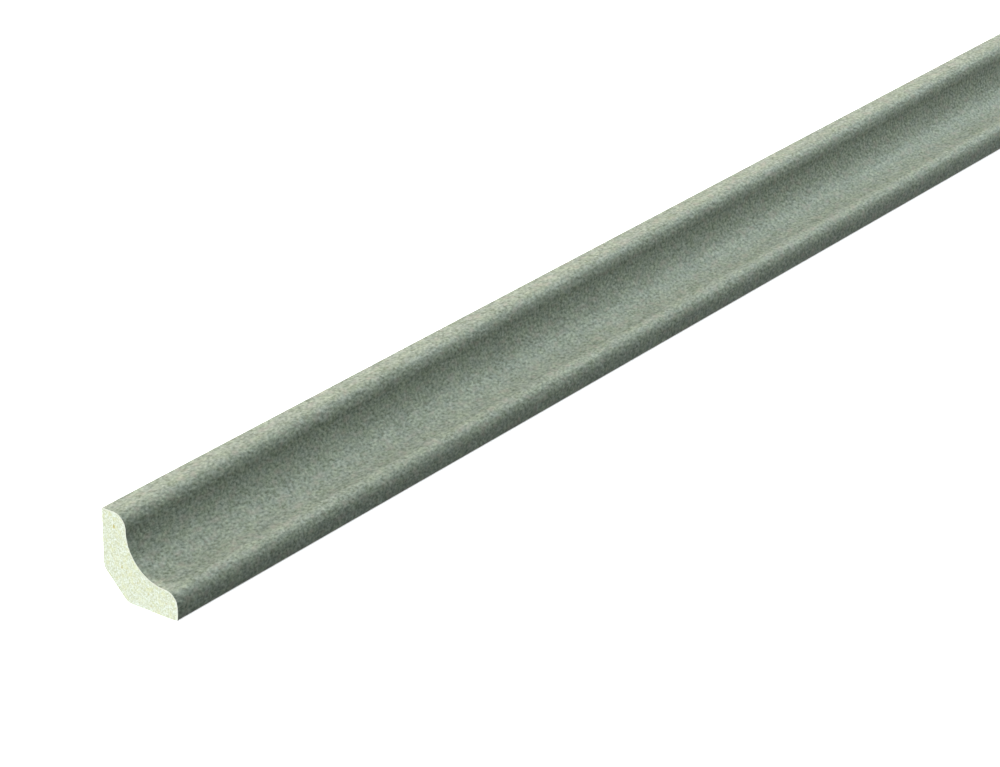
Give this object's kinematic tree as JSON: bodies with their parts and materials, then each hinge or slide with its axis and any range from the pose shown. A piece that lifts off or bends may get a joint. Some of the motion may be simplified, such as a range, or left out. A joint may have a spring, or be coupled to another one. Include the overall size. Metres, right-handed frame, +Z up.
{
  "type": "scotia moulding",
  "caption": "Long straight trim with a concave cove front between two rounded noses, a chamfered back corner and a grey-green stone-look foil over a pale fibreboard core",
  "frame": {"origin": "at floor level, halfway along the bar and midway between the wall face and the front of the lower nose", "axes": "X runs along the bar, +Y points to the wall that the moulding is fixed against, -Y to the room, +Z up from the floor"},
  "size_m": [2.4, 0.017, 0.017],
  "materials": {
    "fibreboard": "matte",
    "decor_foil": "satin"
  },
  "bodies": {
    "root": {"core": "fibreboard", "decor_foil": "decor_foil"}
  },
  "joints": []
}
